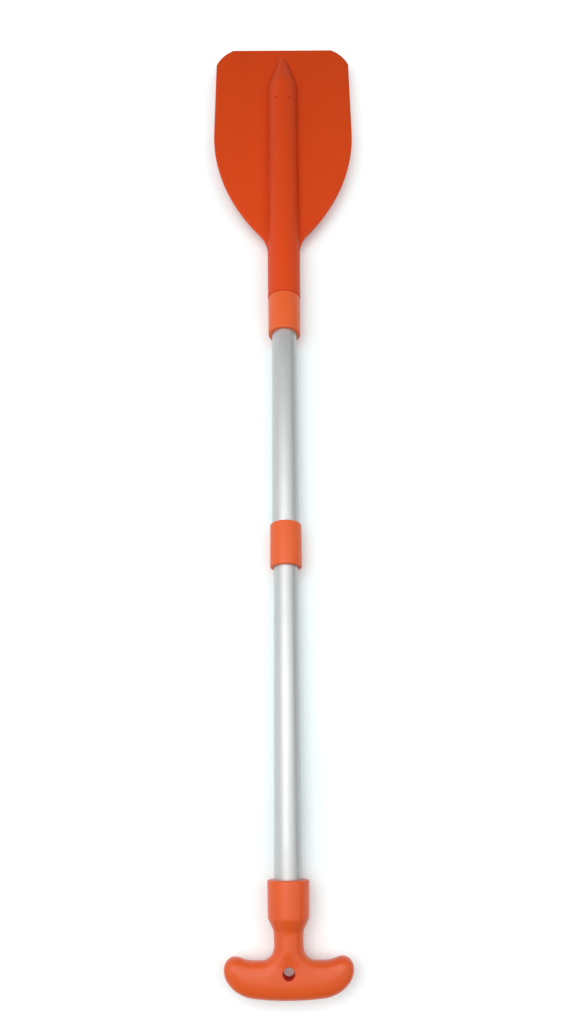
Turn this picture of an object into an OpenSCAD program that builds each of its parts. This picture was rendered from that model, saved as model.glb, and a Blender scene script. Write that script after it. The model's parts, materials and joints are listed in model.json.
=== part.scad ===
// Telescoping T-grip paddle: a moulded blade, three tubes that slide into one
// another, two twist locks inside them and a T-shaped hand grip.
// It lies flat, with the shaft along Y, the blade towards +Y and its face up.
// The origin is on the floor, below the middle of the extended length.

/* [Lengths along the extended shaft] */
// T-grip, from the end of its bar to the mouth of its collar
grip_l = 94; // [90:1:100]
// Bare lower tube, from the grip's collar to the middle collar
lower_shaft_l = 294; // [290:1:320]
// Middle collar
middle_collar_l = 48; // [40:1:60]
// Bare upper tube, from the middle collar to the blade collar
upper_shaft_l = 238; // [238:1:245]
// Blade collar
blade_collar_l = 51; // [40:1:60]
// Blade with its neck, from the blade collar to the tip
blade_l = 420; // [410:1:440]

/* [Tubes] */
// Outside diameter of the lower tube
lower_tube_d = 25.4; // [24.8:0.1:25.6]
// Outside diameter of the upper tube
upper_tube_d = 28.6; // [28.4:0.1:28.8]
// Outside diameter of the tube inside the blade
blade_tube_d = 31.8; // [31.6:0.1:32.2]
// Wall of every tube
tube_wall = 1.0; // [0.9:0.05:1.1]

/* [Telescoping] */
// How far the upper tube slides into the blade
upper_travel = 237; // [200:1:237]
// How far the lower tube slides into the upper one
lower_travel = 282; // [240:1:282]
// Upper tube left inside the blade tube, past the collar's lip, when extended
upper_overlap = 79; // [70:1:90]
// Lower tube left inside the upper one, past the collar's lip, when extended
lower_overlap = 36; // [30:1:36]

/* [Collars] */
// Blade collar at the seam with the blade
blade_collar_d = 38.3; // [36:0.1:39]
// Blade collar at its mouth
blade_collar_mouth_d = 37.4; // [36:0.1:39]
// Middle collar
middle_collar_d = 33.3; // [32:0.1:36]
// Length of the lip that guides the tube in a collar's mouth
lip_l = 6; // [4:0.5:8]

/* [Blade] */
// Width between the blade's straight sides
blade_w = 183; // [160:1:200]
// Width of the flat tip edge, between the two corners
tip_w = 136; // [110:1:145]
// How far down each side the corner's arc ends
corner_drop = 28; // [20:1:35]
// Radius of the corner's arc
corner_r = 52; // [38:1:60]
// Straight side, from the corner to the shoulder
side_l = 126; // [100:1:140]
// Radius of the shoulder, from the straight side in to the throat
shoulder_r = 265; // [255:1:275]
// Foot of the throat's fillet above the seam
throat_l = 68; // [60:1:70]
// Thickness of the blade's plate
plate_t = 4.5; // [3.5:0.1:6]
// Width of the tubular rib down the middle of the blade
rib_d = 38.5; // [37:0.1:39.5]
// Neck at the throat, the widest round of the part
throat_d = 39.7; // [39.6:0.1:42]
// Neck at the seam
neck_d = 38.8; // [38:0.1:40]
// End of the rib's full width above the seam
rib_l = 343; // [330:1:350]
// Taper of the rib beyond that
rib_taper_l = 51; // [40:1:55]

/* [Grip] */
// Width of the bar over its two horns
bar_w = 113.2; // [105:0.2:120]
// Half of the bar's depth in the middle, from the palm's edge to the dip
bar_r = 15; // [14:0.1:16]
// Thickness of the bar in its middle
bar_t = 22; // [20:0.5:28]
// Neck between the bar and the collar
grip_neck_d = 26; // [24:0.5:28]
// Mouth of the grip's collar
grip_collar_d = 38.3; // [36:0.1:39]
// Foot of the grip's collar
grip_collar_foot_d = 37.2; // [35:0.1:38]
// Depth of the socket that holds the lower tube
grip_socket_l = 35; // [30:1:38]
// Hanging hole at its narrowest
hang_hole_d = 10; // [6:0.1:10.5]
// Hanging hole at the bar's two faces
hang_mouth_d = 11.6; // [11:0.1:14]

/* [Twist locks] */
// Diameter of the lock screw
screw_d = 6; // [5:0.5:8]
// Width across the flats of the screw's head
screw_head_af = 10; // [9:0.5:12]
// Length of the split expander
expander_l = 23.5; // [20:0.5:23.5]
// Length of the cone nut
cone_nut_l = 20; // [16:0.5:20]

/* [Hidden] */
$fn = 96;

// Stations along Y, from the grip's end to the tip
total_l = grip_l + lower_shaft_l + middle_collar_l + upper_shaft_l + blade_collar_l + blade_l;
y_grip_end = -total_l / 2;
y_grip_mouth = y_grip_end + grip_l;
y_middle_mouth = y_grip_mouth + lower_shaft_l;
y_middle_top = y_middle_mouth + middle_collar_l;
y_blade_mouth = y_middle_top + upper_shaft_l;
y_seam = y_blade_mouth + blade_collar_l;

// The throat is the fattest round, so the axis is its radius above the floor
axis_z = throat_d / 2;

// Fits, and how far a cutter reaches past the face that it cuts
running = 0.1;
clear = 0.3;
over = 1;
lower_r = lower_tube_d / 2;
upper_r = upper_tube_d / 2;
blade_tube_r = blade_tube_d / 2;
lower_bore_r = lower_r - tube_wall;
upper_bore_r = upper_r - tube_wall;
blade_bore_r = blade_tube_r - tube_wall;

// Each lock's stack, measured from the end of the tube that it is pressed into
plug_shank_l = 12;
plug_flange_l = 3;
screw_head_l = 4;
washer_l = 1.2;
washer_r = 8;
expander_z = plug_flange_l + washer_l + clear;
expander_base_l = 3;
expander_wall = 2;
slot_w = 2;
key_w = slot_w - 2 * clear;
nut_small_r = 6.5;
nut_proud_l = 2;
screw_proud_l = 3;
lock_chamfer = 0.6;
nut_z = expander_z + expander_l + nut_proud_l - cone_nut_l;
lock_head_l = nut_z + cone_nut_l + screw_proud_l;

// Where the tubes end
y_upper_end = y_blade_mouth + lip_l + upper_overlap;
y_lower_end = y_middle_mouth + lip_l + lower_overlap;
sleeve_l = 40;
lower_sleeve_l = 18;
blade_plug_l = 6;
blade_plug_cap_l = 2;
blade_plug_gap = 2;
y_blade_plug = y_upper_end + lock_head_l + upper_travel + blade_plug_gap;
y_blade_tube_end = y_blade_plug + blade_plug_l;

orange = "orangered";
alloy = "silver";

function arc(centre, r, from, to, steps) = [
    for (i = [0 : steps])
        let (a = from + (to - from) * i / steps)
            [centre[0] + r * cos(a), centre[1] + r * sin(a)]
];

// Turns a shape made along +Z so that it lies on the shaft's axis from y towards the tip
module on_shaft(y) {
    translate([0, y, axis_z])
        rotate([-90, 0, 0])
            children();
}

module ring(outer_r, inner_r, length) {
    difference() {
        cylinder(r = outer_r, h = length);
        translate([0, 0, -over])
            cylinder(r = inner_r, h = length + 2 * over);
    }
}

// A collar: rounded at both ends, bored for its own tube, with a narrower lip at the mouth
module collar(mouth_d, top_d, length, tube_r, lip_r, mouth_round, top_round) {
    mouth_r = mouth_d / 2;
    top_r = top_d / 2;
    mouth_arc = arc([mouth_r - mouth_round, mouth_round], mouth_round, -90, 0, 6);
    top_arc = arc([top_r - top_round, length - top_round], top_round, 0, 90, 6);
    inside = [[tube_r, length], [tube_r, lip_l], [lip_r, lip_l], [lip_r, 0]];
    rotate_extrude()
        polygon(concat(mouth_arc, top_arc, inside));
}

// ---- Blade ----

// Half of the outline, in the plane of the plate, counted up from the seam
function half_outline() =
    let (
        half = blade_w / 2,
        corner_in = [tip_w / 2, blade_l],
        corner_out = [half, blade_l - corner_drop],
        chord = corner_out - corner_in,
        mid = (corner_in + corner_out) / 2,
        rise = sqrt(pow(corner_r, 2) - pow(norm(chord) / 2, 2)),
        inward = [chord[1], -chord[0]] / norm(chord),
        corner_c = mid + inward * rise,
        corner_from = atan2(corner_out[1] - corner_c[1], corner_out[0] - corner_c[0]),
        corner_to = atan2(corner_in[1] - corner_c[1], corner_in[0] - corner_c[0]),
        shoulder_c = [half - shoulder_r, blade_l - corner_drop - side_l],
        reach = throat_d / 2 - shoulder_c[0],
        drop = shoulder_c[1] - throat_l,
        throat_r = (pow(reach, 2) + pow(drop, 2) - pow(shoulder_r, 2)) / (2 * (shoulder_r - reach)),
        throat_c = [throat_d / 2 + throat_r, throat_l],
        meet = atan2(-drop, throat_c[0] - shoulder_c[0])
    )
    concat(
        [[0, throat_l]],
        arc(throat_c, throat_r, 180, 180 + meet, 6),
        arc(shoulder_c, shoulder_r, meet, 0, 18),
        arc(corner_c, corner_r, corner_from, corner_to, 8),
        [[0, blade_l]]
    );

module blade_plate() {
    translate([0, y_seam, axis_z - plate_t / 2])
        linear_extrude(plate_t) {
            polygon(half_outline());
            mirror([1, 0])
                polygon(half_outline());
        }
}

// The round neck and rib, tapered to a blunt point
module blade_spine() {
    seam_round = 0.6;
    rib_tip_r = 6.5;
    rib_nose_l = 9;
    rib_nose_r = 2.4;
    throat_flat_l = 10;
    rib_blend_l = 20;
    rib_start = throat_l + throat_flat_l + rib_blend_l;
    rib_point = rib_l + rib_taper_l;
    on_shaft(y_seam)
        rotate_extrude()
            polygon([
                [0, 0],
                [neck_d / 2 - seam_round, 0],
                [neck_d / 2, seam_round],
                [throat_d / 2, throat_l],
                [throat_d / 2, throat_l + throat_flat_l],
                [rib_d / 2, rib_start],
                [rib_d / 2, rib_l],
                [rib_tip_r, rib_point],
                [rib_nose_r, rib_point + rib_nose_l],
                [0, rib_point + rib_nose_l]
            ]);
}

module blade() {
    cavity_l = y_blade_tube_end + blade_plug_cap_l - y_seam;
    color(orange)
        difference() {
            union() {
                blade_plate();
                blade_spine();
            }
            on_shaft(y_seam - over)
                cylinder(r = blade_tube_r, h = cavity_l + over);
        }
}

module blade_tube() {
    y_start = y_blade_mouth + lip_l;
    color(alloy)
        on_shaft(y_start)
            ring(blade_tube_r, blade_bore_r, y_blade_tube_end - y_start);
}

module blade_tube_plug() {
    color("dimgray")
        on_shaft(y_blade_plug) {
            cylinder(r = blade_bore_r, h = blade_plug_l);
            translate([0, 0, blade_plug_l])
                cylinder(r = blade_tube_r, h = blade_plug_cap_l);
        }
}

module blade_collar() {
    color(orange)
        on_shaft(y_blade_mouth)
            collar(blade_collar_mouth_d, blade_collar_d, blade_collar_l,
                blade_tube_r, upper_r + running, mouth_round = 1.6, top_round = 0.6);
}

// ---- Twist locks, one in the end of each sliding tube ----

// Pressed into the tube, with a flange on its end and a pocket for the screw's head
module end_plug(tube_r, bore_r) {
    difference() {
        union() {
            translate([0, 0, -plug_shank_l])
                cylinder(r = bore_r, h = plug_shank_l);
            cylinder(r = tube_r, h = plug_flange_l);
        }
        translate([0, 0, -plug_shank_l - over]) {
            cylinder(r = screw_d / 2, h = plug_shank_l + plug_flange_l + 2 * over);
            screw_head(screw_head_l + over);
        }
    }
}

module screw_head(length) {
    cylinder(r = screw_head_af / 2 / cos(30), h = length, $fn = 6);
}

module lock_screw() {
    translate([0, 0, -plug_shank_l]) {
        screw_head(screw_head_l);
        cylinder(r = screw_d / 2, h = plug_shank_l + lock_head_l);
    }
}

module lock_washer() {
    translate([0, 0, plug_flange_l])
        ring(washer_r, screw_d / 2, washer_l);
}

// The inside of the expander's cone, and the outside of the nut, a clearance apart
function seat_r(bore_r, z) =
    let (
        top_r = bore_r - running - expander_wall,
        foot_r = nut_small_r + clear,
        foot_z = nut_z
    )
    foot_r + (top_r - foot_r) * (z - foot_z) / (expander_z + expander_l - foot_z);

module expander(bore_r) {
    outer_r = bore_r - running;
    top_z = expander_z + expander_l;
    chamber_z = expander_z + expander_base_l;
    slots = 4;
    slot_foot = 1;
    difference() {
        rotate_extrude()
            polygon([
                [screw_d / 2 + clear, expander_z],
                [outer_r - lock_chamfer, expander_z],
                [outer_r, expander_z + lock_chamfer],
                [outer_r, top_z],
                [seat_r(bore_r, top_z), top_z],
                [seat_r(bore_r, nut_z), nut_z],
                [seat_r(bore_r, nut_z), chamber_z],
                [screw_d / 2 + clear, chamber_z]
            ]);
        for (i = [0 : slots / 2 - 1])
            rotate(i * 360 / slots)
                translate([-outer_r - over, -slot_w / 2, chamber_z + slot_foot])
                    cube([2 * (outer_r + over), slot_w, expander_l]);
    }
}

module cone_nut(bore_r) {
    end_z = nut_z + cone_nut_l;
    end_r = bore_r - running - expander_wall + clear;
    key_r = bore_r - running - clear;
    key_l = 6;
    difference() {
        union() {
            rotate_extrude()
                polygon([
                    [screw_d / 2 + running / 2, nut_z],
                    [seat_r(bore_r, nut_z) - clear, nut_z],
                    [seat_r(bore_r, end_z - nut_proud_l) - clear, end_z - nut_proud_l],
                    [end_r - lock_chamfer, end_z],
                    [screw_d / 2 + running / 2, end_z]
                ]);
            translate([-key_r, -key_w / 2, end_z - key_l])
                cube([2 * key_r, key_w, key_l]);
        }
        translate([0, 0, nut_z - over])
            cylinder(r = screw_d / 2 + running / 2, h = cone_nut_l + 2 * over);
    }
}

// ---- Upper section ----

module upper_tube() {
    y_start = y_middle_mouth + lip_l;
    color(alloy)
        on_shaft(y_start)
            ring(upper_r, upper_bore_r, y_upper_end - y_start);
}

// Thin sleeve on the upper tube: it fills the gap to the blade tube and stops at the lip
module upper_guide_sleeve() {
    color("black")
        on_shaft(y_blade_mouth + lip_l + clear)
            ring(blade_bore_r - running, upper_r, sleeve_l);
}

module upper_end_plug() {
    color("dimgray")
        on_shaft(y_upper_end)
            end_plug(upper_r, upper_bore_r);
}

module upper_lock_screw() {
    color("gainsboro")
        on_shaft(y_upper_end)
            lock_screw();
}

module upper_lock_washer() {
    color("gainsboro")
        on_shaft(y_upper_end)
            lock_washer();
}

module upper_expander() {
    color("black")
        on_shaft(y_upper_end)
            expander(blade_bore_r);
}

module upper_cone_nut() {
    color("dimgray")
        on_shaft(y_upper_end)
            cone_nut(blade_bore_r);
}

module middle_collar() {
    color(orange)
        on_shaft(y_middle_mouth)
            collar(middle_collar_d, middle_collar_d, middle_collar_l,
                upper_r, lower_r + running, mouth_round = 0.8, top_round = 2);
}

// ---- Lower section ----

module lower_tube() {
    y_start = y_grip_mouth - grip_socket_l;
    color(alloy)
        on_shaft(y_start)
            ring(lower_r, lower_bore_r, y_lower_end - y_start);
}

module lower_guide_sleeve() {
    color("black")
        on_shaft(y_middle_mouth + lip_l + clear)
            ring(upper_bore_r - running, lower_r, lower_sleeve_l);
}

module lower_end_plug() {
    color("dimgray")
        on_shaft(y_lower_end)
            end_plug(lower_r, lower_bore_r);
}

module lower_lock_screw() {
    color("gainsboro")
        on_shaft(y_lower_end)
            lock_screw();
}

module lower_lock_washer() {
    color("gainsboro")
        on_shaft(y_lower_end)
            lock_washer();
}

module lower_expander() {
    color("black")
        on_shaft(y_lower_end)
            expander(upper_bore_r);
}

module lower_cone_nut() {
    color("dimgray")
        on_shaft(y_lower_end)
            cone_nut(upper_bore_r);
}

// ---- T-grip, measured up from the end of its bar ----

horn_r = 9.3;
hang_y = bar_r + 6.3;
hang_straight_l = 10;
neck_foot_y = 40.5;
neck_top_y = 53;
collar_foot_y = 63;

// Half of the bar as flattened balls, from its middle out to its horn:
// x, y, radius in the face's plane and half the thickness of each
bar_balls = [
    [0, bar_r, bar_r, bar_t / 2],
    [28, bar_r + 0.9, bar_r - 0.3, bar_t / 2],
    [bar_w / 2 - 14.6, bar_r + 4.4, bar_r - 1.6, bar_t / 2 - 0.2],
    [bar_w / 2 - horn_r, bar_r + 9.4, horn_r, horn_r]
];

module bar_ball(ball) {
    translate([ball[0], ball[1], 0])
        scale([1, 1, ball[3] / ball[2]])
            sphere(r = ball[2], $fn = 32);
}

// The bar dips between the neck and its raised horns
module grip_bar() {
    for (side = [0, 1])
        mirror([side, 0, 0])
            for (i = [1 : len(bar_balls) - 1])
                hull() {
                    bar_ball(bar_balls[i - 1]);
                    bar_ball(bar_balls[i]);
                }
}

// Fillets that widen the neck into the bar
module grip_web() {
    web_r = 10;
    web_t = 18;
    half = grip_neck_d / 2 + web_r;
    translate([0, 0, -web_t / 2])
        linear_extrude(web_t)
            difference() {
                translate([-half, bar_r])
                    square([2 * half, neck_foot_y - bar_r]);
                for (side = [-1, 1])
                    translate([side * half, neck_foot_y])
                        circle(r = web_r);
            }
}

module grip_stem() {
    mouth_r = grip_collar_d / 2;
    mouth_round = 1.6;
    stem_root_r = bar_t / 2 - 0.5;
    rotate([-90, 0, 0])
        rotate_extrude()
            polygon(concat(
                [
                    [0, bar_r],
                    [stem_root_r, bar_r],
                    [grip_neck_d / 2, neck_foot_y],
                    [grip_neck_d / 2, neck_top_y],
                    [grip_collar_foot_d / 2, collar_foot_y]
                ],
                arc([mouth_r - mouth_round, grip_l - mouth_round], mouth_round, 0, 90, 6),
                [[0, grip_l]]
            ));
}

module hang_hole() {
    flare_l = (bar_t - hang_straight_l) / 2;
    cylinder(r = hang_hole_d / 2, h = hang_straight_l + 2 * over, center = true);
    for (side = [0, 1])
        mirror([0, 0, side])
            translate([0, 0, hang_straight_l / 2])
                cylinder(r1 = hang_hole_d / 2, r2 = hang_mouth_d / 2, h = flare_l + over);
}

module t_grip() {
    color(orange)
        translate([0, y_grip_end, axis_z])
            difference() {
                union() {
                    grip_bar();
                    grip_web();
                    grip_stem();
                }
                translate([0, grip_l - grip_socket_l, 0])
                    rotate([-90, 0, 0])
                        cylinder(r = lower_r, h = grip_socket_l + over);
                translate([0, hang_y, 0])
                    hang_hole();
            }
}

blade();
blade_tube();
blade_tube_plug();
blade_collar();
upper_tube();
upper_guide_sleeve();
upper_end_plug();
upper_lock_screw();
upper_lock_washer();
upper_expander();
upper_cone_nut();
middle_collar();
lower_tube();
lower_guide_sleeve();
lower_end_plug();
lower_lock_screw();
lower_lock_washer();
lower_expander();
lower_cone_nut();
t_grip();
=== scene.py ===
"""Looks of the telescoping T-grip paddle.

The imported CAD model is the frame: the shaft lies along Y, the blade towards +Y, the floor at
z = 0. Each shape below is worked out in millimetres on the shaft's own axis and then placed
from the CAD nodes' boxes.
"""
import json
import math

import bmesh
import bpy
import numpy as np
from mathutils import Euler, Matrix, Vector

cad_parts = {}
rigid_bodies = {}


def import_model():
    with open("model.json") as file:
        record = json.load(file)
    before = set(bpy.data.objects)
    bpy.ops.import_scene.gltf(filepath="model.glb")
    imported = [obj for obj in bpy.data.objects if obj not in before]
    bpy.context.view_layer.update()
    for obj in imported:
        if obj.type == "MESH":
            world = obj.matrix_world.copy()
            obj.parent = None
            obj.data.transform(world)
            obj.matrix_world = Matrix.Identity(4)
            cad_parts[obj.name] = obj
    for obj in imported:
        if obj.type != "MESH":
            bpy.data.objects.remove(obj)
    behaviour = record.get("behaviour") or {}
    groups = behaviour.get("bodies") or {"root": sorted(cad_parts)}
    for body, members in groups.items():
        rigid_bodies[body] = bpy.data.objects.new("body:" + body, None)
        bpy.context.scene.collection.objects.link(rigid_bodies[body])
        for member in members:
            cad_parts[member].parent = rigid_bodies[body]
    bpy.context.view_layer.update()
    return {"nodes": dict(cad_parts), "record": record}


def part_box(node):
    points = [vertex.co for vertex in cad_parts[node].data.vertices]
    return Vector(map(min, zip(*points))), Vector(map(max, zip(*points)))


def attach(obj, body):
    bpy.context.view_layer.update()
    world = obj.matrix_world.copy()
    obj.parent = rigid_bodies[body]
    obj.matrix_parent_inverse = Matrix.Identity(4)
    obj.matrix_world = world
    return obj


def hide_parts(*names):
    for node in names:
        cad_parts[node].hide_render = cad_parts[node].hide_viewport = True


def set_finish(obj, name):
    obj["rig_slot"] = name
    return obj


MM = 0.001

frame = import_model()


# ---- Stations, in millimetres, from the CAD nodes' boxes ----

def span(node):
    """Where a CAD node starts and ends along the shaft."""
    low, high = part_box(node)
    return low.y / MM, high.y / MM


def radius_of(node):
    low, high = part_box(node)
    return (high.x - low.x) / 2 / MM


AXIS_Z = (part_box("upper_tube")[0].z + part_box("upper_tube")[1].z) / 2 / MM
GRIP_END, GRIP_MOUTH = span("t_grip")
GRIP_L = GRIP_MOUTH - GRIP_END
MIDDLE_MOUTH, MIDDLE_TOP = span("middle_collar")
BLADE_MOUTH, SEAM = span("blade_collar")
TIP = span("blade")[1]
BLADE_L = TIP - SEAM
BLADE_HALF = radius_of("blade")
THROAT_R = AXIS_Z
NECK_R = 19.4
UPPER_R = radius_of("upper_tube")
LOWER_R = radius_of("lower_tube")
BLADE_TUBE_R = radius_of("blade_tube")
WALL = 1.0
LIP_L = 6.0


# ---- Mesh helpers ----

def add_object(name, points, faces, body, slot, nodes):
    """A closed, smooth-shaded piece from points in millimetres, which stands for CAD nodes."""
    mesh = bpy.data.meshes.new(name)
    mesh.from_pydata([tuple(p) for p in np.asarray(points, float) * MM], [], faces)
    bm = bmesh.new()
    bm.from_mesh(mesh)
    loose = [v for v in bm.verts if not v.link_faces]
    bmesh.ops.delete(bm, geom=loose, context="VERTS")
    bmesh.ops.recalc_face_normals(bm, faces=bm.faces)
    if bm.calc_volume(signed=True) < 0:
        bmesh.ops.reverse_faces(bm, faces=bm.faces)
    bm.to_mesh(mesh)
    bm.free()
    mesh.shade_smooth()
    piece = bpy.data.objects.new(name, mesh)
    bpy.context.scene.collection.objects.link(piece)
    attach(piece, body)
    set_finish(piece, slot)
    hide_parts(*nodes)
    return piece


def sharpen(piece, degrees):
    """Keeps the edges steeper than this crisp in smooth shading."""
    piece.data.set_sharp_from_angle(angle=math.radians(degrees))


ARC_STEP = 15.0
LATHE_SEGMENTS = 160
VENT_SEGMENTS = 32


def rounded(corners):
    """A closed outline with each corner (u, v, radius) replaced by an arc of that radius."""
    outline = []
    count = len(corners)
    for i, (u, v, radius) in enumerate(corners):
        here = np.array([u, v], float)
        if radius <= 0:
            outline.append(here)
            continue
        back = np.array(corners[i - 1][:2], float) - here
        ahead = np.array(corners[(i + 1) % count][:2], float) - here
        back /= np.linalg.norm(back)
        ahead /= np.linalg.norm(ahead)
        half = math.acos(np.clip(back @ ahead, -1, 1)) / 2
        centre = here + (back + ahead) / np.linalg.norm(back + ahead) * radius / math.sin(half)
        start = here + back * radius / math.tan(half) - centre
        turn = math.pi - 2 * half
        side = np.sign(back[0] * ahead[1] - back[1] * ahead[0])
        steps = max(2, math.ceil(math.degrees(turn) / ARC_STEP))
        for k in range(steps + 1):
            a = -side * turn * k / steps
            outline.append(centre + np.array([
                start[0] * math.cos(a) - start[1] * math.sin(a),
                start[0] * math.sin(a) + start[1] * math.cos(a),
            ]))
    return outline


def turned(corners, segments, place):
    """Points and faces of a ring turned from an outline; place puts (along, x, y) in space."""
    outline = rounded(corners)
    count = len(outline)
    points, faces = [], []
    for s in range(segments):
        a = 2 * math.pi * s / segments
        for along, r in outline:
            points.append(place(along, r * math.cos(a), r * math.sin(a)))
    for s in range(segments):
        near, far = s * count, (s + 1) % segments * count
        for i in range(count):
            j = (i + 1) % count
            faces.append((near + i, near + j, far + j, far + i))
    return points, faces


def lathe(name, corners, body, slot, nodes):
    """A ring round the shaft's axis from a closed outline of (station, radius, rounding)."""
    points, faces = turned(corners, LATHE_SEGMENTS, lambda along, x, y: (x, along, AXIS_Z + y))
    piece = add_object(name, points, faces, body, slot, nodes)
    sharpen(piece, 35)
    return piece


def surface_net(field, low, high, step):
    """Points and quads of the surface where a field is zero, pulled exactly onto it."""
    axes = [np.arange(low[k], high[k] + step, step) for k in range(3)]
    grid = np.stack(np.meshgrid(*axes, indexing="ij"), -1)
    value = field(grid)
    inside = value < 0
    shape = [n - 1 for n in value.shape]

    def corner(a, i, j, k):
        return a[i:shape[0] + i, j:shape[1] + j, k:shape[2] + k]

    total = sum(
        corner(inside, i, j, k).astype(int) for i in (0, 1) for j in (0, 1) for k in (0, 1)
    )
    active = (total > 0) & (total < 8)
    number = np.full(shape, -1)
    number[active] = np.arange(active.sum())
    points = np.zeros((active.sum(), 3))
    crossings = np.zeros(active.sum())
    cell_low = np.stack(np.nonzero(active), -1)
    for axis in range(3):
        for a in (0, 1):
            for b in (0, 1):
                at = [0, 0, 0]
                at[(axis + 1) % 3], at[(axis + 2) % 3] = a, b
                to = list(at)
                to[axis] = 1
                v0 = corner(value, *at)[active]
                v1 = corner(value, *to)[active]
                cut = (v0 < 0) != (v1 < 0)
                share = np.where(cut, v0 / np.where(cut, v0 - v1, 1), 0)
                place = cell_low + np.array(at)
                place = place + share[:, None] * (np.array(to) - np.array(at))
                points += np.where(cut[:, None], place, 0)
                crossings += cut
    points = points / crossings[:, None] * step + np.array(low)
    for _ in range(8):
        normal, here = slope(field, points)
        points -= np.clip(here, -step / 2, step / 2)[:, None] * normal
    quads = []
    for axis in range(3):
        b, c = (axis + 1) % 3, (axis + 2) % 3
        first = [slice(None)] * 3
        second = [slice(None)] * 3
        first[axis], second[axis] = slice(0, -1), slice(1, None)
        flips = np.nonzero(inside[tuple(first)] != inside[tuple(second)])
        where = np.stack(flips, -1)
        where = where[(where[:, b] > 0) & (where[:, c] > 0)]
        where = where[(where[:, b] < shape[b]) & (where[:, c] < shape[c])]
        ring = []
        for db, dc in ((1, 1), (0, 1), (0, 0), (1, 0)):
            cell = where.copy()
            cell[:, b] -= db
            cell[:, c] -= dc
            ring.append(number[tuple(cell.T)])
        quads.append(np.stack(ring, -1))
    return points, np.concatenate(quads).tolist()


def slope(field, points, reach=0.02):
    """The field's unit gradient at some points, and its distance to zero."""
    here = field(points)
    gradient = np.stack([
        (field(points + reach * np.eye(3)[k]) - field(points - reach * np.eye(3)[k])) / (2 * reach)
        for k in range(3)
    ], -1)
    size = np.linalg.norm(gradient, axis=-1) + 1e-9
    return gradient / size[:, None], here / size


def same_points(ring, near):
    """For each point of a closed ring, the first one of the run of points that lie this near."""
    ring = np.asarray(ring)
    first = list(range(len(ring)))
    for i in range(1, len(ring)):
        if np.linalg.norm(ring[i] - ring[first[i - 1]]) < near:
            first[i] = first[i - 1]
    last = first[-1]
    if last and np.linalg.norm(ring[last] - ring[0]) < near:
        first = [0 if k == last else k for k in first]
    return first


def smoothstep(t):
    t = np.clip(t, 0, 1)
    return t * t * (3 - 2 * t)


# ---- Blade: neck, tubular rib and plate in one moulding ----

TIP_HALF = 68.0
CORNER_DROP = 28.0
CORNER_R = 52.0
SIDE_L = 126.0
SHOULDER_R = 265.0
THROAT_L = 68.0
PLATE = 2.25
RIB_R = 19.25
RIB_L = 343.0
RIB_TAPER_L = 51.0
RIB_POINT_R = 6.5
RIB_NOSE_L = 6.5
CREASE_R = 2.4
SEAM_ROUND = 1.2
VENT_OUT = 8.2
VENT_UP = 311.0


def arc_between(start, end, radius):
    """The centre of the arc that bulges outwards from start to end, walking clockwise."""
    chord = end - start
    middle = (start + end) / 2
    rise = math.sqrt(radius ** 2 - (np.linalg.norm(chord) / 2) ** 2)
    inward = np.array([chord[1], -chord[0]]) / np.linalg.norm(chord)
    return middle + inward * rise


def blade_outline():
    """Half of the plate's width as a function of the distance above the seam."""
    shoulder_v = BLADE_L - CORNER_DROP - SIDE_L
    shoulder_u = BLADE_HALF - SHOULDER_R
    reach = THROAT_R - shoulder_u
    drop = shoulder_v - THROAT_L
    fillet = (reach ** 2 + drop ** 2 - SHOULDER_R ** 2) / (2 * (SHOULDER_R - reach))
    fillet_u = THROAT_R + fillet
    share = SHOULDER_R / (SHOULDER_R + fillet)
    meet_v = shoulder_v + (THROAT_L - shoulder_v) * share
    corner = arc_between(
        np.array([TIP_HALF, BLADE_L]), np.array([BLADE_HALF, BLADE_L - CORNER_DROP]), CORNER_R
    )

    def half_width(v):
        if v <= THROAT_L:
            return NECK_R + (THROAT_R - NECK_R) * smoothstep(v / THROAT_L)
        if v <= meet_v:
            return fillet_u - math.sqrt(fillet ** 2 - (v - THROAT_L) ** 2)
        if v <= shoulder_v:
            return shoulder_u + math.sqrt(SHOULDER_R ** 2 - (shoulder_v - v) ** 2)
        if v <= BLADE_L - CORNER_DROP:
            return BLADE_HALF
        return corner[0] + math.sqrt(CORNER_R ** 2 - (v - corner[1]) ** 2)

    return half_width


def rib_radius(v):
    """The round body's radius: neck, rib, pencil point and nose."""
    neck = NECK_R + (THROAT_R - NECK_R) * smoothstep(v / THROAT_L)
    body = neck + (RIB_R - neck) * smoothstep((v - THROAT_L) / 40)
    if v <= RIB_L:
        return body
    point_v = RIB_L + RIB_TAPER_L
    if v <= point_v:
        t = (v - RIB_L) / RIB_TAPER_L
        return RIB_R + (RIB_POINT_R - RIB_R) * t ** 1.08
    t = min(1.0, (v - point_v) / RIB_NOSE_L)
    return RIB_POINT_R * math.sqrt(max(0.0, 1 - t * t))


def distance_to_outline(points, outline):
    """Shortest way in the plate's plane from each point to the outline's segments."""
    best = np.full(len(points), 1e9)
    for a, b in zip(outline[:-1], outline[1:]):
        along = b - a
        t = np.clip(((points - a) @ along) / (along @ along), 0, 1)
        best = np.minimum(best, np.linalg.norm(points - a - t[:, None] * along, axis=1))
    return best


def blade_stations():
    """Cross-sections along the blade: close together where the shape turns."""
    marks = [
        (SEAM_ROUND, THROAT_L - 6, 10.0), (THROAT_L - 6, THROAT_L + 45, 1.5),
        (THROAT_L + 45, RIB_L - 4, 5.0), (RIB_L - 4, RIB_L + 4, 0.8),
        (RIB_L + 4, BLADE_L - CORNER_DROP, 2.0), (BLADE_L - CORNER_DROP, BLADE_L - 6, 0.8),
        (BLADE_L - 6, BLADE_L - 1, 0.35), (BLADE_L - 1, BLADE_L, 0.12),
    ]
    stations = []
    for start, end, step in marks:
        count = max(1, round((end - start) / step))
        stations += [start + (end - start) * k / count for k in range(count)]
    return stations + [BLADE_L]


def edge_round(away, reach):
    """How much of the plate's thickness is left this far from its edge."""
    t = 1 - np.clip(away / reach, 0, 1)
    return np.sqrt(1 - t * t)


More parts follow.
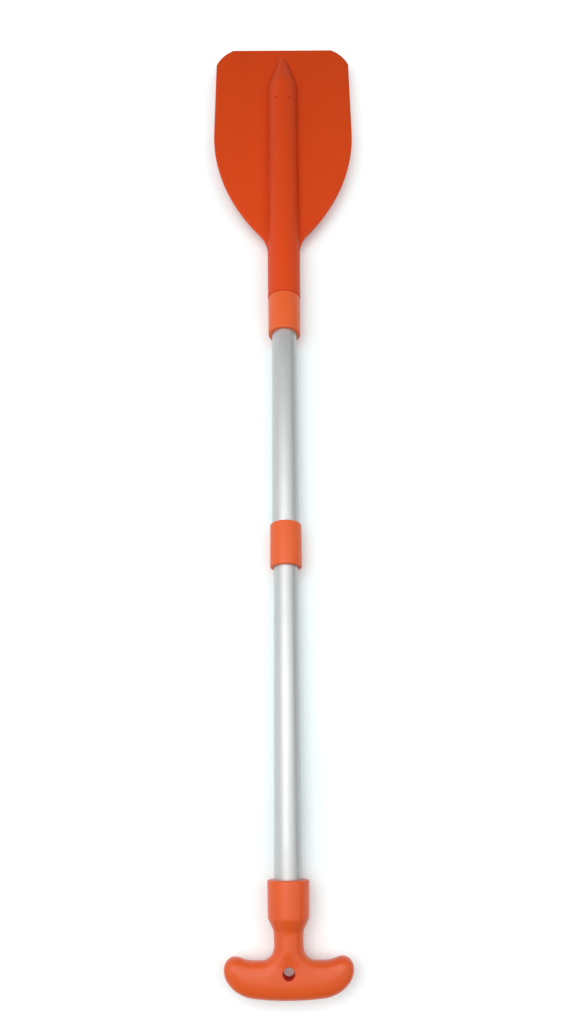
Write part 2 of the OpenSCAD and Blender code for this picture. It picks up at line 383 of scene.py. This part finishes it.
def blade_section(v, half, outline):
    """The upper half of one cross-section, from its middle to its edge, as (u, height)."""
    spare = max(0.0, half - rib_radius(v))
    plate = PLATE * smoothstep(spare / 5) * (1 - 0.12 * smoothstep((v - 150) / 250))
    middle = plate * edge_round(BLADE_L - v, PLATE)
    rib = max(rib_radius(v), middle)
    plate = min(plate, rib)
    crease = CREASE_R * smoothstep(spare / 8)
    foot = min(plate, rib) if rib > middle else middle
    reach = math.sqrt(max(0.0, (rib + crease) ** 2 - (foot + crease) ** 2))
    full = math.atan2(reach, foot + crease)
    round_steps, crease_steps, plate_steps = 22, 6, 30
    section = []
    for k in range(round_steps):
        a = full * k / round_steps
        section.append((rib * math.sin(a), rib * math.cos(a)))
    for k in range(crease_steps):
        a = full * (1 - k / crease_steps)
        section.append((reach - crease * math.sin(a), foot + crease - crease * math.cos(a)))
    edge = min(reach, half)
    us = [edge + (half - edge) * math.sin(math.pi / 2 * k / plate_steps) ** 1.15
          for k in range(plate_steps + 1)]
    away = distance_to_outline(np.array([(u, v) for u in us]), outline)
    heights = plate * edge_round(away, min(PLATE, max(spare, 1e-6)))
    section += list(zip(us, heights))
    section[-1] = (half, 0.0)
    return section


def make_blade():
    half_width = blade_outline()
    fine = [THROAT_L + (BLADE_L - THROAT_L) * k / 500 for k in range(501)]
    outline = [np.array([half_width(v), v]) for v in fine] + [np.array([0.0, BLADE_L])]
    stations = blade_stations()
    rings = []
    for v in stations:
        upper = blade_section(v, half_width(v), outline)
        if v == BLADE_L:
            upper = [(u, 0.0) for u, _ in upper]
        ring = [(u, h) for u, h in upper]
        ring += [(u, -h) for u, h in reversed(upper[:-1])]
        ring += [(-u, -h) for u, h in upper[1:]]
        ring += [(-u, h) for u, h in reversed(upper[1:-1])]
        rings.append([(u, SEAM + v, AXIS_Z + h) for u, h in ring])
    mouth = [(SEAM_ROUND, NECK_R)] + [
        (SEAM_ROUND * (1 - math.sin(a)), NECK_R - SEAM_ROUND * (1 - math.cos(a)))
        for a in (math.pi / 6, math.pi / 3, math.pi / 2)
    ]
    cavity_l = span("blade_tube_plug")[1] - SEAM
    bore = [(0.0, BLADE_TUBE_R + 0.3), (0.3, BLADE_TUBE_R), (cavity_l, BLADE_TUBE_R), (cavity_l, 0.0)]
    first = rings[0]
    extra = []
    for v, r in (mouth[1:] + bore):
        extra.append([(x * r / NECK_R, SEAM + v, AXIS_Z + (z - AXIS_Z) * r / NECK_R) for x, y, z in first])
    rings = list(reversed(extra)) + rings
    size = len(first)
    points = [p for ring in rings for p in ring]
    number = [k * size + i for k, ring in enumerate(rings) for i in same_points(ring, 0.004)]
    tip = (len(rings) - 1) * size
    bottom = size // 2
    for i in range(bottom // 2):
        number[tip + bottom - i] = number[tip + i]
        number[tip + bottom + i] = number[tip + (size - i) % size]
    faces = []
    for k in range(len(rings) - 1):
        for i in range(size):
            j = (i + 1) % size
            corners = (k * size + i, k * size + j, (k + 1) * size + j, (k + 1) * size + i)
            face = list(dict.fromkeys(number[c] for c in corners))
            if len(face) > 2:
                faces.append(face)
    piece = add_object("blade_moulding", points, faces, "blade_section", "blade_plastic",
                       ["blade"])
    punch_vents(piece)
    sharpen(piece, 40)
    return piece


def punch_vents(piece):
    """Two small blind vents with raised rims, where the moulding's core pins stood."""
    rim = [(-1.5, 2.9, 0), (0.35, 2.9, 0.3), (0.35, 1.2, 0.15), (-1.5, 1.2, 0)]
    pin = [(-1.4, 0.01, 0), (3.0, 0.01, 0), (3.0, 1.8, 0), (-1.4, 1.3, 0)]
    for corners, operation in ((rim, "UNION"), (pin, "DIFFERENCE")):
        for side in (-1, 1):
            tool = small_turning(corners, side * math.asin(VENT_OUT / RIB_R))
            tool.location.y = (SEAM + VENT_UP) * MM
            cut = piece.modifiers.new("vent", "BOOLEAN")
            cut.operation = operation
            cut.object = tool
            cut.solver = "MANIFOLD"
            with bpy.context.temp_override(object=piece):
                bpy.ops.object.modifier_apply(modifier=cut.name)
            bpy.data.meshes.remove(tool.data)
    piece.data.shade_smooth()


def small_turning(corners, lean):
    """A turned tool that stands on the rib's skin, leaning away from the top by an angle."""
    points, faces = turned(
        corners, VENT_SEGMENTS, lambda height, x, y: Vector((x, y, RIB_R + height)) * MM
    )
    mesh = bpy.data.meshes.new("tool")
    mesh.from_pydata(points, [], faces)
    bm = bmesh.new()
    bm.from_mesh(mesh)
    bmesh.ops.recalc_face_normals(bm, faces=bm.faces)
    bm.to_mesh(mesh)
    bm.free()
    tool = bpy.data.objects.new("tool", mesh)
    tool.rotation_euler.y = lean
    tool.location.z = AXIS_Z * MM
    bpy.context.scene.collection.objects.link(tool)
    return tool


# ---- T-grip: bar with raised horns, neck and collar in one moulding ----

NECK_TOP = 53.0
COLLAR_FOOT = 63.0
GRIP_NECK_R = 13.0
BAR_HALF_T = 11.0
GRIP_FOOT_R = 18.6
GRIP_MOUTH_R = 19.15
HANG_Y = 21.3
HANG_R = 5.0
SOCKET_L = 35.0


def stretches(start, heading, moves):
    """A smooth path cut into arcs (radius, turn in degrees) and straight runs (length, 0).

    The path starts at a point with a heading in degrees, and turns left where a turn is positive.
    """
    here = np.array(start, float)
    heading = math.radians(heading)
    path = []
    for size, turn in moves:
        ahead = np.array([math.cos(heading), math.sin(heading)])
        if turn == 0:
            path.append(("run", here, ahead, size))
            here = here + size * ahead
            continue
        side = math.copysign(1, turn)
        left = np.array([-ahead[1], ahead[0]])
        centre = here + side * size * left
        sweep = math.radians(abs(turn))
        start_angle = math.atan2(*(here - centre)[::-1])
        path.append(("arc", centre, size * side, (start_angle, sweep)))
        heading += side * sweep
        here = centre - side * size * np.array([-math.sin(heading), math.cos(heading)])
    return path


def side_distance(x, y, path):
    """Distance to a smooth path: positive on its right side, negative on its left."""
    best = np.full(np.shape(x), 1e6)
    for kind, origin, extra, size in path:
        dx, dy = x - origin[0], y - origin[1]
        if kind == "run":
            along = dx * extra[0] + dy * extra[1]
            away = dx * extra[1] - dy * extra[0]
            beside = (along > -1e-6) & (along < size + 1e-6)
        else:
            side = math.copysign(1, extra)
            start_angle, sweep = size
            away = (np.hypot(dx, dy) - abs(extra)) * side
            turned = (np.arctan2(dy, dx) - start_angle) * side
            beside = np.mod(turned + 1e-6, 2 * math.pi) < sweep + 2e-6
        best = np.where(beside & (np.abs(away) < np.abs(best)), away, best)
    return best


# Right half of the grip seen from its face: palm edge, horn, dip and the fillet to the neck.
# A numeric search chose the first four arcs' radii and turns and the two short runs' lengths.
GRIP_OUTLINE = stretches((0, 0), 0, [
    (290, 5.96), (36.7, 25.37), (27.9, 24.14), (15.64, 34.53), (0.4, 0), (9.3, 90),
    (15, 22.2), (28, -22.2), (7.05, 0), (11, -90), (80, 0),
])


def round_cut(a, b, r):
    """a without b, with the edge between them rounded."""
    u, v = np.maximum(r + a, 0), np.maximum(r - b, 0)
    return np.minimum(-r, np.maximum(a, -b)) + np.sqrt(u * u + v * v)


def grip_stem_radius(g):
    """The stem's radius: neck, cone and slightly tapered collar."""
    rise = (g - NECK_TOP) / (COLLAR_FOOT - NECK_TOP)
    cone = GRIP_NECK_R + (GRIP_FOOT_R - GRIP_NECK_R) * rise
    taper = (g - COLLAR_FOOT) / (GRIP_L - COLLAR_FOOT)
    collar = GRIP_FOOT_R + (GRIP_MOUTH_R - GRIP_FOOT_R) * taper
    lower = (cone + GRIP_NECK_R + np.sqrt((cone - GRIP_NECK_R) ** 2 + 1.2)) / 2
    return (lower + collar - np.sqrt((lower - collar) ** 2 + 0.25)) / 2


def grip_field(p):
    """Distance to the grip's skin, in millimetres up from the end of its bar."""
    x, g, z = np.abs(p[..., 0]), p[..., 1], np.abs(p[..., 2])
    neck = smoothstep((g - 24) / 16)
    reach = 15 - 2 * neck
    power = 2.8 - 0.8 * neck
    u = np.maximum(0, 1 + side_distance(x, g, GRIP_OUTLINE) / reach)
    w = z / (BAR_HALF_T + 2 * neck)
    bar = ((u ** power + w ** power) ** (1 / power) - 1) * GRIP_NECK_R
    rho = np.hypot(x, z)
    stem = (rho - grip_stem_radius(g)) * 0.93
    join = smoothstep((g - 43) / 6)
    skin = round_cut(bar * (1 - join) + stem * join, GRIP_L - g, 1.6)
    hole = np.hypot(x, g - HANG_Y) - HANG_R - np.maximum(z - 5, 0) * 0.03
    skin = round_cut(skin, hole, 0.7)
    socket = np.maximum(rho - LOWER_R - 0.08, GRIP_L - SOCKET_L - g)
    return round_cut(skin, socket, 0.5)


def make_grip():
    points, quads = surface_net(grip_field, (-60.13, -2.37, -21.41), (60.3, 95.3, 21.3), 0.8)
    normals, _ = slope(grip_field, points)
    placed = points + np.array([0, GRIP_END, AXIS_Z])
    piece = add_object("grip_moulding", placed, quads, "lower_section", "grip_plastic", ["t_grip"])
    piece.data.normals_split_custom_set_from_vertices([tuple(n) for n in normals])
    return piece


# ---- Tubes and collars ----

def make_tube(name, node, radius, body):
    start, end = span(node)
    edge = 0.25
    corners = [
        (start, radius, edge), (end, radius, edge),
        (end, radius - WALL, edge), (start, radius - WALL, edge),
    ]
    return lathe(name, corners, body, "tube_alloy", [node])


GROOVE_L = 1.0
GROOVE_DEEP = 1.4
LIP_GAP = 0.08


def make_blade_collar():
    tube_r, lip_r = BLADE_TUBE_R, UPPER_R + LIP_GAP
    shoulder, step_r = SEAM - GROOVE_L, 19.15 - GROOVE_DEEP
    corners = [
        (BLADE_MOUTH, 18.7, 1.6), (shoulder, 19.15, 0.5), (shoulder, step_r, 0), (SEAM, step_r, 0.2),
        (SEAM, tube_r, 0.2), (BLADE_MOUTH + LIP_L, tube_r, 0), (BLADE_MOUTH + LIP_L, lip_r, 0.2),
        (BLADE_MOUTH, lip_r, 0.25),
    ]
    return lathe("blade_collar_moulding", corners, "blade_section", "collar_plastic", ["blade_collar"])


def make_middle_collar():
    outer_r = radius_of("middle_collar")
    tube_r, lip_r = UPPER_R + 0.02, LOWER_R + LIP_GAP
    corners = [
        (MIDDLE_MOUTH, outer_r, 1.3), (MIDDLE_TOP, outer_r, 1.9), (MIDDLE_TOP, tube_r, 0.2),
        (MIDDLE_MOUTH + LIP_L, tube_r, 0), (MIDDLE_MOUTH + LIP_L, lip_r, 0.2),
        (MIDDLE_MOUTH, lip_r, 0.25),
    ]
    return lathe("middle_collar_moulding", corners, "upper_section", "collar_plastic", ["middle_collar"])


# ---- Materials ----

def new_material(name):
    material = bpy.data.materials.new(name)
    material.use_nodes = True
    nodes = material.node_tree.nodes
    links = material.node_tree.links
    nodes.clear()
    output = nodes.new("ShaderNodeOutputMaterial")
    shader = nodes.new("ShaderNodeBsdfPrincipled")
    links.new(shader.outputs["BSDF"], output.inputs["Surface"])
    return material, nodes, links, shader


def object_space(nodes, links, stretch=(1, 1, 1)):
    """Coordinates in metres that move with the piece, stretched along some axes."""
    place = nodes.new("ShaderNodeTexCoord")
    mapping = nodes.new("ShaderNodeMapping")
    mapping.inputs["Scale"].default_value = stretch
    links.new(place.outputs["Object"], mapping.inputs["Vector"])
    return mapping.outputs["Vector"]


def noise(nodes, links, vector, scale, detail=3.0, roughness=0.5):
    texture = nodes.new("ShaderNodeTexNoise")
    texture.inputs["Scale"].default_value = scale
    texture.inputs["Detail"].default_value = detail
    texture.inputs["Roughness"].default_value = roughness
    links.new(vector, texture.inputs["Vector"])
    return texture.outputs["Fac"]


def spread(nodes, links, value, low, high, to_low, to_high):
    """A value mapped from one range to another."""
    change = nodes.new("ShaderNodeMapRange")
    change.inputs["From Min"].default_value = low
    change.inputs["From Max"].default_value = high
    change.inputs["To Min"].default_value = to_low
    change.inputs["To Max"].default_value = to_high
    links.new(value, change.inputs["Value"])
    return change.outputs["Result"]


def two_tones(nodes, links, value, dark, light):
    ramp = nodes.new("ShaderNodeValToRGB")
    ramp.color_ramp.elements[0].position = 0.15
    ramp.color_ramp.elements[0].color = (*dark, 1)
    ramp.color_ramp.elements[1].position = 0.85
    ramp.color_ramp.elements[1].color = (*light, 1)
    links.new(value, ramp.inputs["Fac"])
    return ramp.outputs["Color"]


def combine(nodes, links, operation, a, b):
    maths = nodes.new("ShaderNodeMath")
    maths.operation = operation
    for socket, value in zip(maths.inputs, (a, b)):
        if isinstance(value, (int, float)):
            socket.default_value = value
        else:
            links.new(value, socket)
    return maths.outputs["Value"]


def bump(nodes, links, shader, height, distance):
    node = nodes.new("ShaderNodeBump")
    node.inputs["Strength"].default_value = 1.0
    node.inputs["Distance"].default_value = distance
    links.new(height, node.inputs["Height"])
    links.new(node.outputs["Normal"], shader.inputs["Normal"])


def tint(colour, factor):
    return tuple(min(1.0, c * factor) for c in colour)


# Offset and width of the band of painted shade along the rib's creases, in metres.
CREASE_SHADE_OUT = 0.0008
CREASE_SHADE_REACH = 0.0036


def split_axes(nodes, links, space):
    axes = nodes.new("ShaderNodeSeparateXYZ")
    links.new(space, axes.inputs["Vector"])
    return axes


def off_middle(nodes, links, axes):
    """Distance above or below the shaft's middle height, in metres."""
    up = combine(nodes, links, "SUBTRACT", axes.outputs["Z"], AXIS_Z * MM)
    return combine(nodes, links, "ABSOLUTE", up, 0.0)


def crease_shade_mask(nodes, links, space):
    """How close a point is to the crease between the blade's rib and its plate, from 0 to 1: the mask for
    the shade painted along that crease.
    """
    axes = split_axes(nodes, links, space)
    up = off_middle(nodes, links, axes)
    out = combine(nodes, links, "ABSOLUTE", axes.outputs["X"], 0.0)
    rim_start, rim_end = (SEAM + RIB_L) * MM, (SEAM + RIB_L + RIB_TAPER_L) * MM
    rib = spread(nodes, links, axes.outputs["Y"], rim_start, rim_end, RIB_R * MM, RIB_POINT_R * MM)
    past = combine(nodes, links, "SUBTRACT", out, rib)
    past = combine(nodes, links, "SUBTRACT", past, CREASE_SHADE_OUT)
    off = combine(nodes, links, "ABSOLUTE", past, 0.0)
    beside = spread(nodes, links, off, 0.0, CREASE_SHADE_REACH, 1, 0)
    low = spread(nodes, links, up, 0.004, 0.009, 1, 0)
    throat = (SEAM + THROAT_L) * MM
    start = spread(nodes, links, axes.outputs["Y"], throat, throat + 0.05, 0, 1)
    end = spread(nodes, links, axes.outputs["Y"], rim_end - 0.006, rim_end + 0.006, 1, 0)
    band = combine(nodes, links, "MULTIPLY", beside, low)
    band = combine(nodes, links, "MULTIPLY", band, start)
    return combine(nodes, links, "MULTIPLY", band, end)


def hole_shade_mask(nodes, links, space):
    """1 inside the grip's hanging hole and 0 outside it: the mask for the shade painted on the hole's
    wall.
    """
    axes = split_axes(nodes, links, space)
    along = combine(nodes, links, "SUBTRACT", axes.outputs["Y"], (GRIP_END + HANG_Y) * MM)
    out = combine(nodes, links, "POWER", combine(nodes, links, "ABSOLUTE", axes.outputs["X"], 0.0), 2)
    away = combine(nodes, links, "ADD", out, combine(nodes, links, "MULTIPLY", along, along))
    away = combine(nodes, links, "SQRT", away, 0.0)
    return spread(nodes, links, away, (HANG_R + 0.2) * MM, (HANG_R + 0.8) * MM, 1, 0)


def painted_shade(nodes, links, skin, mask, factor):
    """Painted shade: the skin's colour multiplied by the factor where the mask is 1."""
    mix = nodes.new("ShaderNodeMix")
    mix.data_type = "RGBA"
    mix.blend_type = "MULTIPLY"
    links.new(mask, mix.inputs["Factor"])
    links.new(skin, mix.inputs["A"])
    mix.inputs["B"].default_value = (*factor, 1)
    return mix.outputs["Result"]


def moulded_plastic(name, colour, roughness, grain, gloss, parting_line=True, detail=None):
    """Moulded plastic: faint flow mottling, fine mould grain and a parting line at mid height; with a
    detail, painted shade along the blade rib's creases or in the grip's hanging hole.
    """
    material, nodes, links, shader = new_material(name)
    space = object_space(nodes, links)
    flow = noise(nodes, links, object_space(nodes, links, (1, 0.35, 1)), 22, 4)
    skin = two_tones(nodes, links, flow, tint(colour, 0.955), tint(colour, 1.03))
    patches = noise(nodes, links, space, 90, 3)
    matt = spread(nodes, links, patches, 0.1, 0.9, roughness - 0.05, roughness + 0.06)
    # Painted shade: the colour is darkened and reddened along the rib's creases, where the real crease
    # lies in shade.
    if detail == "painted_crease_shade":
        skin = painted_shade(nodes, links, skin, crease_shade_mask(nodes, links, space), (0.93, 0.8, 0.7))
    # Painted shade: the hanging hole's wall is darkened to deep red, where the real hole lies in shade; it
    # is also made rougher.
    if detail == "hole":
        wall = hole_shade_mask(nodes, links, space)
        skin = painted_shade(nodes, links, skin, wall, (0.95, 0.3, 0.25))
        matt = combine(nodes, links, "MAXIMUM", matt, combine(nodes, links, "MULTIPLY", wall, 0.95))
    links.new(skin, shader.inputs["Base Color"])
    links.new(matt, shader.inputs["Roughness"])
    height = combine(nodes, links, "MULTIPLY", noise(nodes, links, space, 1500, 2, 0.6), grain)
    waviness = combine(nodes, links, "MULTIPLY", noise(nodes, links, space, 60, 1), 0.25)
    height = combine(nodes, links, "ADD", height, waviness)
    if parting_line:
        off = off_middle(nodes, links, split_axes(nodes, links, space))
        ridge = spread(nodes, links, off, 0.0, 0.00028, 0.55, 0.0)
        height = combine(nodes, links, "ADD", height, ridge)
    bump(nodes, links, shader, height, 0.00018)
    shader.inputs["Specular IOR Level"].default_value = gloss
    shader.inputs["IOR"].default_value = 1.49
    shader.inputs["Subsurface Weight"].default_value = 0.08
    shader.inputs["Subsurface Scale"].default_value = 0.002
    shader.inputs["Subsurface Radius"].default_value = (1.0, 0.35, 0.12)
    return material


def satin_anodised(name):
    """Drawn aluminium tube, clear anodised: fine lines along it, hazy satin gloss."""
    material, nodes, links, shader = new_material(name)
    space = object_space(nodes, links)
    lines_space = object_space(nodes, links, (1, 0.012, 1))
    lines = noise(nodes, links, lines_space, 2600, 3, 0.7)
    broad = noise(nodes, links, lines_space, 500, 2)
    haze = noise(nodes, links, space, 28, 4)
    mixed = combine(nodes, links, "ADD", lines, broad)
    links.new(two_tones(nodes, links, combine(nodes, links, "MULTIPLY", mixed, 0.5),
                        (0.55, 0.56, 0.56), (0.62, 0.63, 0.625)), shader.inputs["Base Color"])
    rough = spread(nodes, links, haze, 0.3, 0.7, 0.52, 0.57)
    lined = spread(nodes, links, lines, 0.3, 0.7, -0.02, 0.03)
    links.new(combine(nodes, links, "ADD", rough, lined), shader.inputs["Roughness"])
    shader.inputs["Metallic"].default_value = 1.0
    bump(nodes, links, shader, mixed, 0.00002)
    return material


def plated_steel(name):
    """Zinc-plated steel with turning marks round its axis."""
    material, nodes, links, shader = new_material(name)
    turned = noise(nodes, links, object_space(nodes, links, (0.05, 1, 0.05)), 1800, 2)
    cloud = noise(nodes, links, object_space(nodes, links), 300, 3)
    links.new(two_tones(nodes, links, cloud, (0.56, 0.57, 0.55), (0.68, 0.67, 0.63)),
              shader.inputs["Base Color"])
    links.new(spread(nodes, links, turned, 0.3, 0.7, 0.24, 0.38), shader.inputs["Roughness"])
    shader.inputs["Metallic"].default_value = 1.0
    bump(nodes, links, shader, turned, 0.00003)
    return material


BLADE_ORANGE = (0.61, 0.0565, 0.007)
COLLAR_ORANGE = (0.68, 0.105, 0.021)
GRIP_ORANGE = (0.665, 0.094, 0.018)

finishes = {
    # The blade's orange carries painted shade along the rib's creases.
    "blade_plastic": moulded_plastic("blade_orange", BLADE_ORANGE, 0.52, 0.55, 0.16, detail="painted_crease_shade"),
    "collar_plastic": moulded_plastic("collar_orange", COLLAR_ORANGE, 0.4, 0.25, 0.32),
    # The grip's orange carries painted shade on the wall of its hanging hole.
    "grip_plastic": moulded_plastic("grip_orange", GRIP_ORANGE, 0.3, 0.25, 0.3, detail="hole"),
    "tube_alloy": satin_anodised("tube_anodised"),
    "inner_plastic": moulded_plastic("nylon_grey", (0.12, 0.12, 0.13), 0.5, 0.4, 0.5, False),
    "sleeve_plastic": moulded_plastic("acetal_black", (0.02, 0.02, 0.021), 0.38, 0.3, 0.5, False),
    "screw_steel": plated_steel("zinc_plate"),
}


# ---- Stage: floor, soft light and camera ----

def make_floor():
    """White paper that glows (painted light): a little near the paddle and more towards its far edges, so
    that it stays white there. Its colour is a little cyan, against the orange light the paddle throws onto
    it.
    """
    size = 4.0
    mesh = bpy.data.meshes.new("floor")
    corners = [(-size, -size, 0), (size, -size, 0), (size, size, 0), (-size, size, 0)]
    mesh.from_pydata(corners, [], [(0, 1, 2, 3)])
    floor = bpy.data.objects.new("floor", mesh)
    bpy.context.scene.collection.objects.link(floor)
    material, nodes, links, shader = new_material("floor_white")
    shader.inputs["Base Color"].default_value = (0.88, 0.95, 0.955, 1)
    shader.inputs["Roughness"].default_value = 0.9
    shader.inputs["Specular IOR Level"].default_value = 0.0
    shader.inputs["Emission Color"].default_value = (1, 1, 1, 1)
    # Painted light: the floor's emission grows with the distance from a point near the paddle.
    length = nodes.new("ShaderNodeVectorMath")
    length.operation = "DISTANCE"
    length.inputs[1].default_value = (-0.2, -0.15, 0)
    links.new(object_space(nodes, links), length.inputs[0])
    glow = spread(nodes, links, length.outputs["Value"], 0.35, 0.95, 0.02, 0.37)
    links.new(glow, shader.inputs["Emission Strength"])
    mesh.materials.append(material)


def add_panel(name, centre, size, radiance, aim):
    """A soft rectangular panel of even radiance, turned to face a point."""
    light = bpy.data.lights.new(name, "AREA")
    light.shape = "RECTANGLE"
    light.size, light.size_y = size
    light.energy = radiance * math.pi * size[0] * size[1]
    panel = bpy.data.objects.new(name, light)
    panel.location = centre
    panel.rotation_euler = (Vector(aim) - Vector(centre)).to_track_quat("-Z", "Y").to_euler()
    panel.visible_camera = False
    bpy.context.scene.collection.objects.link(panel)


def make_light():
    """Soft boxes overhead in a room with a pale wall on the left and a high window on the right."""
    world = bpy.data.worlds.new("studio")
    world.use_nodes = True
    nodes, links = world.node_tree.nodes, world.node_tree.links
    background = nodes["Background"]
    place = nodes.new("ShaderNodeTexCoord")
    axes = nodes.new("ShaderNodeSeparateXYZ")
    links.new(place.outputs["Generated"], axes.inputs["Vector"])
    wall = spread(nodes, links, axes.outputs["X"], -0.35, -0.7, 0.04, 0.87)
    window = spread(nodes, links, axes.outputs["X"], 0.35, 0.6, 0, 1.5)
    above = spread(nodes, links, axes.outputs["Z"], 0.4, 0.55, 0, 1)
    window = combine(nodes, links, "MULTIPLY", window, above)
    links.new(combine(nodes, links, "ADD", wall, window), background.inputs["Strength"])
    background.inputs["Color"].default_value = (1, 1, 1, 1)
    bpy.context.scene.world = world
    add_panel("ceiling_box", (-0.28, -0.15, 1.13), (1.8, 1.35), 1.68, (-0.28, -0.15, 0))
    add_panel("key_box", (-0.28, -0.24, 1.12), (0.6, 0.9), 2.15, (-0.28, -0.24, 0))


def make_camera():
    """Close above the grip end and tilted towards the blade, as the picture was taken."""
    focal_px, frame_h_px, sensor = 764, 1024, 36
    height, tilt, lean = 764, 21.3, 0.45
    foot_y = GRIP_END + 152.5
    camera = bpy.data.cameras.new("camera")
    camera.sensor_width = sensor
    camera.lens = sensor * focal_px / frame_h_px
    view = bpy.data.objects.new("camera", camera)
    view.location = Vector((0.2, foot_y, AXIS_Z + height)) * MM
    view.rotation_euler = Euler((math.radians(tilt), 0, -math.radians(lean)))
    bpy.context.scene.collection.objects.link(view)
    bpy.context.scene.camera = view


make_blade()
make_blade_collar()
make_middle_collar()
make_tube("upper_tube_drawn", "upper_tube", UPPER_R, "upper_section")
make_tube("lower_tube_drawn", "lower_tube", LOWER_R, "lower_section")
make_tube("blade_tube_drawn", "blade_tube", BLADE_TUBE_R, "blade_section")
make_grip()

slots = {part["node"]: part["material_slot"] for part in frame["record"]["subparts"]}
for name, node in frame["nodes"].items():
    node.data.materials.clear()
    node.data.materials.append(finishes[slots[name]])
for piece in bpy.data.objects:
    if "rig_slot" in piece:
        piece.data.materials.clear()
        piece.data.materials.append(finishes[piece["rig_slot"]])

make_floor()
make_light()
make_camera()
bpy.context.scene.view_settings.view_transform = "Standard"
